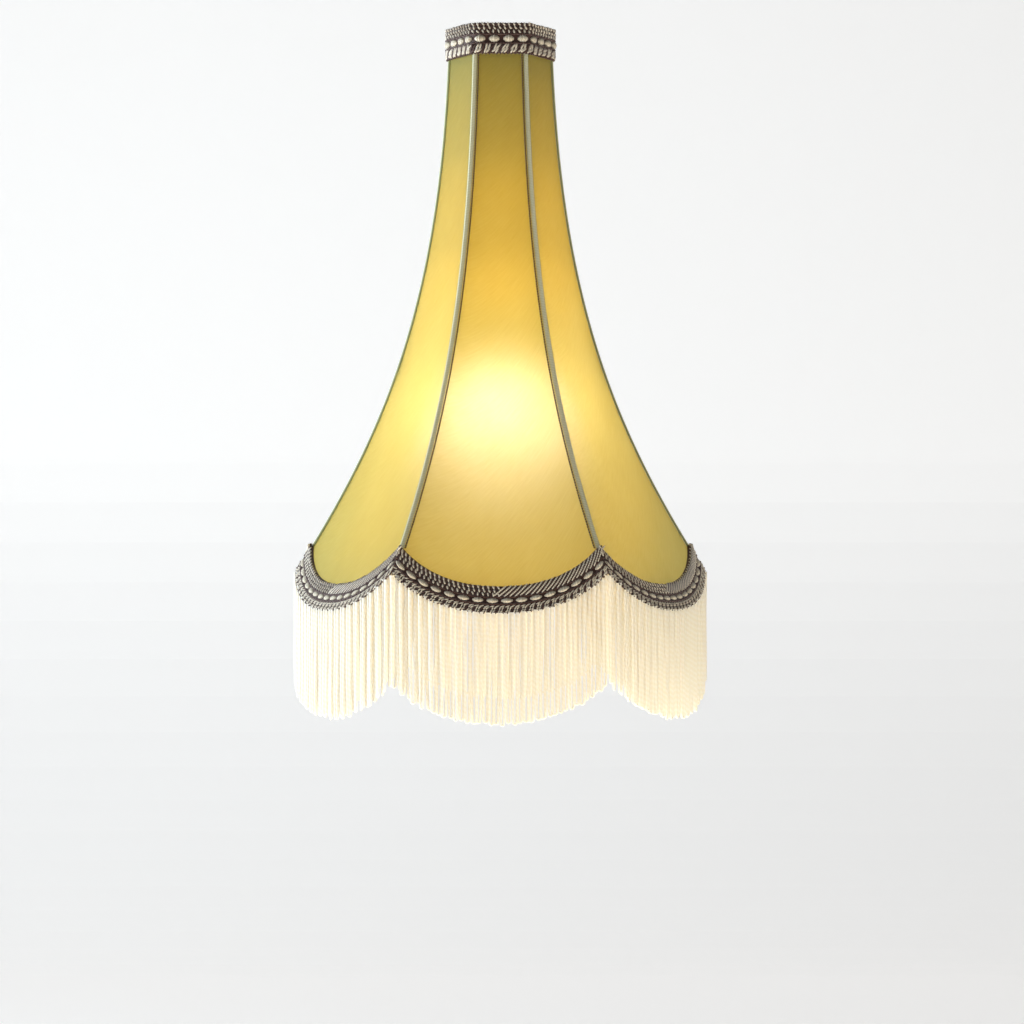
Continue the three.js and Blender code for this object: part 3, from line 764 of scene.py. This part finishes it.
# Rayon gimp is a core wrapped round with floss, which lies in fine cross ribs. Its colour is a painted silky
# shine on the ribs and painted shade between them, with a tone that differs at random. The wraps are 0.3 mm
# apart, drawn 0.9 mm apart.
gimps = []
for gimp_name, dark_hex, light_hex in (
    ("brown_rayon_gimp", "#2F1813", "#55352B"),
    ("cream_rayon_gimp", "#A8937A", "#FBF2E0"),
    ("cream_wrapped_bead", "#7A5E42", "#FAF0D8"),
):
    gimp = empty_material(gimp_name)
    gimp_wrap = twist_marks(gimp, GIMP_WRAP)
    gimp_place = add(gimp, "ShaderNodeTexCoord").outputs["Object"]
    gimp_noise = add(gimp, "ShaderNodeTexNoise", {"Vector": gimp_place, "Scale": 900.0, "Detail": 2.0})
    gimp_ribs_shine_and_tone = add(gimp, "ShaderNodeMath", {
        0: gimp_wrap, 1: gimp_noise.outputs["Fac"]}, operation="ADD")
    gimp_range = add(gimp, "ShaderNodeMapRange", {
        "Value": gimp_ribs_shine_and_tone.outputs[0], "From Min": 0.35, "From Max": 1.1})
    # Dark is painted shade between the wraps and light is painted shine on them; the noise adds random tone.
    gimp_colour = add(gimp, "ShaderNodeMix", {
        "Factor": gimp_range.outputs[0], "A": linear(dark_hex), "B": linear(light_hex)}, data_type="RGBA")
    gimp_bump = add(gimp, "ShaderNodeBump", {
        "Height": gimp_ribs_shine_and_tone.outputs[0], "Strength": 0.5, "Distance": 0.2 * MM})
    gimp_shader = add(gimp, "ShaderNodeBsdfPrincipled", {
        "Base Color": gimp_colour.outputs["Result"], "Roughness": 0.55, "Sheen Weight": 0.3,
        "Normal": gimp_bump.outputs[0]})
    add(gimp, "ShaderNodeOutputMaterial", {"Surface": gimp_shader.outputs[0]})
    gimps.append(gimp)
DARK, CREAM, BEAD = range(3)


def strand_place(turn, along):
    angle = 2 * math.pi * turn
    full = math.sin(math.pi * (0.12 + 0.76 * along)) ** 0.5
    return Vector((along - 0.5, full * math.cos(angle), full * math.sin(angle)))


def bead_place(turn, along):
    angle = 2 * math.pi * turn
    full = math.sin(math.pi * (0.04 + 0.92 * along)) ** 0.6 * (1 + 0.09 * math.cos(8 * math.pi * along))
    return Vector((along - 0.5, full * math.cos(angle), full * math.sin(angle)))


long_strand = rolled("gimp_strand", 6, 5, strand_place, 8 * MM)
short_strand = rolled("gimp_stitch", 5, 3, strand_place, 3 * MM)
bead = rolled("gimp_bead", 8, 16, bead_place, 9 * MM)
for unit in (long_strand, short_strand, bead):
    smooth(unit, 80)


def laid_piece(unit, colour, x, y, lift, length, width, height, slant, wrap):
    """One piece of a braid: a unit, its colour, and where each of its points goes on the braid."""
    cos, sin = math.cos(slant), math.sin(slant)

    def place(co):
        along, aside = co.x * length, co.y * width / 2
        return wrap(x + along * cos - aside * sin, y + along * sin + aside * cos, lift + co.z * height / 2)

    return unit, colour, place


def sewn_together(name, copies, materials):
    """One mesh of all the copies, each a unit, its material's number and a function for its points."""
    together = bmesh.new()
    for unit, material, place in copies:
        first, first_face = len(together.verts), len(together.faces)
        together.from_mesh(unit.data)
        together.verts.ensure_lookup_table()
        together.faces.ensure_lookup_table()
        for vertex in together.verts[first:]:
            vertex.co = place(vertex.co)
        for face in together.faces[first_face:]:
            face.material_index = material
    mesh = bpy.data.meshes.new(name)
    together.to_mesh(mesh)
    together.free()
    made = bpy.data.objects.new(name, mesh)
    bpy.context.collection.objects.link(made)
    for material in materials:
        mesh.materials.append(material)
    return made


def braid_pieces(length, rise, wrap, bead_length, bead_rise, dashed, leaves, seed):
    """The pieces of a braid from x = 0 to length, its lower edge at y = 0 and its upper at rise.
    dashed says where along it the long strands give way to rows of short stitches. The foot is
    either one row of leaf shaped loops or a row of stitches over a knitted zigzag."""
    draw = random.Random(seed)
    copies = []
    chain = 1.3 * MM
    strand_low = 0.62 * rise + (bead_rise - 4.2 * MM) * 0.35
    strand_rise = rise - strand_low
    bead_y = strand_low - chain - bead_rise / 2
    low_chain_y = bead_y - bead_rise / 2 - chain / 2
    foot_rise = low_chain_y - chain / 2

    def row(pitch, start=0.5):
        count = max(1, round(length / pitch))
        return [((i + start) * length / count, i) for i in range(count)]

    def lay(unit, colour, x, y, lift, size, slant):
        copies.append(laid_piece(unit, colour, x, y, lift, *size, slant, wrap))

    for x, i in row(STRAND_PITCH):
        if not dashed(x / length):
            cream = i % 2 == 0
            strand_length = strand_rise / math.sin(STRAND_SLANT) * draw.uniform(0.98, 1.06)
            lay(long_strand, CREAM if cream else DARK, x, strand_low + strand_rise / 2,
                (2.1 if cream else 1.9) * MM, (strand_length, 1.5 * MM, 2.1 * MM),
                STRAND_SLANT + draw.uniform(-0.05, 0.05))
    dash_step = strand_rise / 3
    for level in range(3):
        for x, i in row(DASH_PITCH, 0.5 * (level % 2)):
            if dashed(x / length):
                y = strand_low + (level + 0.5) * dash_step + draw.uniform(-0.3, 0.3) * MM
                lay(short_strand, DARK if i % 2 else CREAM, x, y, (1.8 if i % 2 else 2.0) * MM,
                    (dash_step * draw.uniform(0.9, 1.1), 1.5 * MM, 2.1 * MM),
                    DASH_SLANT + draw.uniform(-0.3, 0.3))
    for y in (strand_low - chain / 2, low_chain_y):
        for x, i in row(CHAIN_PITCH):
            lay(short_strand, DARK, x, y, 1.9 * MM, (3.1 * MM, 1.5 * MM, 2.2 * MM), 0.25 * (-1) ** i)
    for x, _ in row(bead_length + BEAD_GAP):
        lay(bead, BEAD, x, bead_y, 1.6 * MM,
            (bead_length * draw.uniform(0.94, 1.04), bead_rise, 3.4 * MM), draw.uniform(-0.06, 0.06))
    if leaves:
        for height, size in ((0.3, 0.62), (0.68, 0.74)):
            for x, i in row(LEAF_PITCH, height):
                lay(long_strand, DARK if i % 3 == 0 else CREAM, x, foot_rise * height + 0.3 * MM, 1.9 * MM,
                    (foot_rise * size * draw.uniform(0.85, 1.1), 1.7 * MM, 2.0 * MM),
                    math.radians(58) + draw.uniform(-0.45, 0.45))
    else:
        for x, _ in row(STITCH_PITCH):
            lay(short_strand, CREAM, x, foot_rise - 1.1 * MM, 1.9 * MM,
                (3.6 * MM, 1.1 * MM, 1.6 * MM), 0.35 + draw.uniform(-0.1, 0.1))
        knit_step = (foot_rise - 1.7 * MM) / 2
        for level in range(2):
            for x, i in row(KNIT_PITCH, 0.25 + 0.5 * level):
                lay(short_strand, CREAM if i % 3 else DARK, x, 0.5 * MM + (level + 0.5) * knit_step,
                    1.8 * MM, (knit_step * draw.uniform(1.0, 1.2), 1.3 * MM, 1.8 * MM),
                    math.radians(55) + draw.uniform(-0.35, 0.35))
    for x, _ in row(TOOTH_PITCH):
        lay(short_strand, DARK, x, 0.3 * MM, 1.5 * MM, (1.9 * MM, 1.5 * MM, 1.9 * MM), math.radians(80))
    return copies


LOWER_BRAID_LENGTH = 2 * gore_point(1, BRAID_FOOT_Z - SCALLOP_DROP / 3, TRIM_INSIDE).x


def on_gore(x, y, lift):
    """Puts a point of the lower braid on the front gore, its strip sheared to follow the scallop."""
    share = 2 * x / LOWER_BRAID_LENGTH - 1
    return gore_point(share, BRAID_FOOT_Z + y - scallop(share), TRIM_INSIDE + lift)


def ground_unit(name, across, place_flat):
    """The dark knitted strip under a braid's pieces, as a closed strip of the ground's thickness."""
    def place(turn, along):
        up = min(turn / 0.45, 1) if turn < 0.5 else max(1 - (turn - 0.5) / 0.45, 0)
        return place_flat(along, up, GROUND_THICKNESS if turn < 0.5 else 0.0)
    return rolled(name, 20, across, place, across * 2 * MM)


def lower_ground(along, up, lift):
    share = 2 * along - 1
    inside = max(-0.998, min(0.998, share))
    y = GROUND_MARGIN + up * (BRAID_RISE - 2 * GROUND_MARGIN)
    return on_gore((inside + 1) / 2 * LOWER_BRAID_LENGTH, y, lift)


same = (lambda co: co)
ground = ground_unit("braid_ground", 60, lower_ground)
lower_braid = sewn_together(
    "gimp_braid",
    [(ground, DARK, same)] + braid_pieces(
        LOWER_BRAID_LENGTH, BRAID_RISE, on_gore, 8.8 * MM, 4.2 * MM, lambda way: way < 0.5, False, 11),
    gimps)
for k in range(GORES):
    braid = turned_copy(lower_braid, f"gimp_braid_{k + 1}", GORE_TURNS[k])
    put_on(braid, "shade", "braid", f"lower_braid_{k + 1}")
bpy.data.objects.remove(lower_braid)
bpy.data.objects.remove(ground)

TOP_BRAID_BEND = 9 * MM
TOP_BRAID_FULLNESS = 1.5
top_inner = face_depth(TOP_BRAID_LOW_Z, TRIM_INSIDE) / math.cos(CORNER)
TOP_BRAID_LENGTH = GORES * (top_inner - 2 * TOP_BRAID_BEND * math.tan(CORNER) + 2 * CORNER * TOP_BRAID_BEND)


def round_top(x, y, lift):
    """Puts a point of the top braid on the ring round the neck."""
    way = x / TOP_BRAID_LENGTH
    full_lift = lift * TOP_BRAID_FULLNESS
    radius = top_inner + (GROUND_MARGIN + full_lift) / math.cos(CORNER)
    return ring_point(way % 1, radius, TOP_BRAID_BEND + full_lift, TOP_BRAID_LOW_Z + y)


def top_ground(along, up, lift):
    y = GROUND_MARGIN + up * (TOP_BRAID_HEIGHT - 2 * GROUND_MARGIN)
    return round_top(along * TOP_BRAID_LENGTH, y, lift)


ground = ground_unit("top_ground", 120, top_ground)
top_braid = sewn_together(
    "gimp_top_braid",
    [(ground, DARK, same)] + braid_pieces(
        TOP_BRAID_LENGTH, TOP_BRAID_HEIGHT, round_top, 8.5 * MM, 6.4 * MM,
        lambda way: True, True, 5),
    gimps)
put_on(top_braid, "shade", "braid", "top_braid")
for unit in (ground, long_strand, short_strand, bead):
    bpy.data.objects.remove(unit)

# --- Fringe -----------------------------------------------------------------------------------------
# Two rows of looped ivory rayon yarn, 90 mm long, sewn on at the braid's lower edge. Each loop is
# one length of soft yarn that hangs doubled, so its two runs lie together and end in a small bight.
FRINGE_LENGTH = 90 * MM
YARN_RADIUS = 1.15 * MM
YARN_TWIST = 3.2 * MM
LOOP_WIDTH = 2.7 * MM
LOOP_TOP_WIDTH = 4.3 * MM
LOOPS = 20
# Each row of loops is drawn in from the seams by this factor.
ROW_DRAWN_IN = 0.985
LOOP_RUN_STEPS, LOOP_BIGHT_STEPS, YARN_SIDES = 6, 4, 6
# Rayon yarn is silky and lets some light through. It is softly twisted, one turn in 3.2 mm.
yarn = empty_material("ivory_rayon_yarn")
yarn_marks = twist_marks(yarn, YARN_TWIST)
yarn_colour = add(yarn, "ShaderNodeMix", {
    "Factor": yarn_marks, "A": linear("#FAF4E6"), "B": linear("#FFFDF8")}, data_type="RGBA")
yarn_bump = add(yarn, "ShaderNodeBump", {"Height": yarn_marks, "Strength": 0.15, "Distance": 0.25 * MM})
yarn_face = add(yarn, "ShaderNodeBsdfPrincipled", {
    "Base Color": yarn_colour.outputs["Result"], "Roughness": 0.5, "Sheen Weight": 0.3,
    "Normal": yarn_bump.outputs[0]})
yarn_glow = add(yarn, "ShaderNodeBsdfTranslucent", {"Color": linear("#FFFBF0")})
yarn_mix = add(yarn, "ShaderNodeMixShader", {0: 0.4, 1: yarn_face.outputs[0], 2: yarn_glow.outputs[0]})
add(yarn, "ShaderNodeOutputMaterial", {"Surface": yarn_mix.outputs[0]})

loop_steps = 2 * LOOP_RUN_STEPS + LOOP_BIGHT_STEPS
loop_line = []
straight_run = FRINGE_LENGTH - LOOP_WIDTH / 2 - YARN_RADIUS
for step in range(LOOP_RUN_STEPS + 1):
    loop_line.append(Vector((-LOOP_WIDTH / 2, 0, -straight_run * step / LOOP_RUN_STEPS)))
for step in range(1, LOOP_BIGHT_STEPS):
    angle = math.pi * step / LOOP_BIGHT_STEPS
    loop_line.append(Vector((
        -LOOP_WIDTH / 2 * math.cos(angle), 0, -straight_run - LOOP_WIDTH / 2 * math.sin(angle))))
for step in range(LOOP_RUN_STEPS, -1, -1):
    loop_line.append(Vector((LOOP_WIDTH / 2, 0, -straight_run * step / LOOP_RUN_STEPS)))


def loop_place(turn, along):
    i = round(along * loop_steps)
    forward = (loop_line[min(i + 1, loop_steps)] - loop_line[max(i - 1, 0)]).normalized()
    angle = 2 * math.pi * turn
    outward = Vector((0, 1, 0))
    return loop_line[i] + YARN_RADIUS * (math.cos(angle) * outward + math.sin(angle) * forward.cross(outward))


yarn_loop = rolled("yarn_loop", YARN_SIDES, loop_steps, loop_place, 2 * FRINGE_LENGTH)
smooth(yarn_loop, 80)


def hung_loop(share, out, draw, group_length, group_lean):
    """The function that hangs one loop from the braid's edge, with the small accidents of its yarn."""
    edge_z = BRAID_FOOT_Z - scallop(share)
    top = gore_point(share, edge_z, out)
    longer = 1 + (group_length + draw.uniform(-1.3, 1.0) * MM) / FRINGE_LENGTH
    lean = group_lean + draw.uniform(-0.8, 0.8) * MM
    sway, phase = draw.uniform(0.1, 0.55) * MM, draw.uniform(0, 6.28)
    spread = draw.uniform(0.85, 1.25)
    deep = draw.uniform(-0.5, 0.5) * MM
    turn_out = draw.uniform(-0.5, 0.5)

    def place(co):
        down = -co.z / FRINGE_LENGTH
        aside = co.x * (LOOP_TOP_WIDTH / LOOP_WIDTH * (1 - down) + spread * down)
        wave = sway * math.sin(phase + 7 * down) * down
        x = top.x + aside * math.cos(turn_out * down) + lean * down * down + wave
        y = top.y + co.y + aside * math.sin(turn_out * down) + deep * down
        return Vector((x, y, edge_z + 0.5 * MM + min(co.z, 0) * longer))

    return place


for k in range(GORES):
    draw = random.Random(40 + k)
    copies = []
    for layer_out, offset in ((3.4 * MM, 0.5), (4.9 * MM, 0.0)):
        left_in_group, group_length, group_lean = 0, 0, 0
        for i in range(LOOPS):
            if left_in_group == 0:
                left_in_group = draw.randint(4, 8)
                group_length = draw.uniform(-2.2, 0.8) * MM
                group_lean = draw.uniform(-1.2, 1.2) * MM
            left_in_group -= 1
            share = (2 * (i + 0.25 + offset) / LOOPS - 1) * ROW_DRAWN_IN
            copies.append((yarn_loop, 0, hung_loop(share, layer_out, draw, group_length, group_lean)))
    hanging = sewn_together(f"yarn_fringe_{k + 1}", copies, [yarn])
    hanging.data.transform(Matrix.Rotation(GORE_TURNS[k], 4, "Z"))
    put_on(hanging, "shade", "fringe", f"fringe_{k + 1}")
bpy.data.objects.remove(yarn_loop)

# The flat cut of each silk gore is worked out once more; the result is not used.
for k in range(GORES):
    flat_cut(COVER_TOP_Z, HEM_RISE, COVER_INSIDE)
